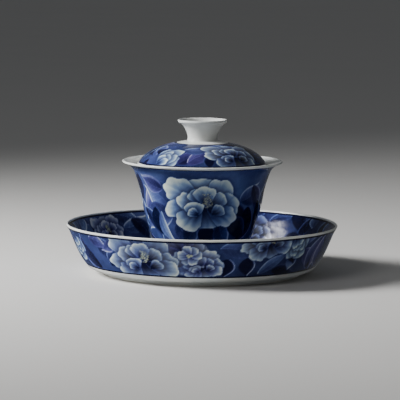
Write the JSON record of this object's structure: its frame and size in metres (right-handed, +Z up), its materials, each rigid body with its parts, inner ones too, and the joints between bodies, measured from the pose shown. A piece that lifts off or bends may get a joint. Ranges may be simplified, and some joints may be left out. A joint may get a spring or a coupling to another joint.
{
  "type": "gaiwan",
  "caption": "Lidded porcelain tea bowl with a flared lip and a hollow trumpet knob on its domed lid, standing loose in a deep flared saucer.",
  "frame": {"origin": "centre of the saucer's foot ring, on the surface that it stands on", "axes": "+Z up along the common axis of saucer, bowl and lid; +Y away from the viewer, +X to the viewer's right"},
  "size_m": [0.1764, 0.1764, 0.0999],
  "materials": {
    "painted_glaze": "gloss",
    "white_glaze": "gloss",
    "bare_clay": "matte"
  },
  "bodies": {
    "saucer": {"saucer_dish": "painted_glaze", "saucer_foot_ring": "bare_clay"},
    "bowl": {"bowl_body": "painted_glaze", "bowl_foot_ring": "bare_clay"},
    "lid": {"lid_dome": "painted_glaze", "lid_knob": "white_glaze"}
  },
  "joints": [
    {"name": "bowl_lift", "type": "slide", "parent": "saucer", "child": "bowl", "axis": [0, 0, 1], "range_m": [0, 0.07]},
    {"name": "lid_lift", "type": "slide", "parent": "bowl", "child": "lid", "axis": [0, 0, 1], "range_m": [0, 0.06]}
  ]
}
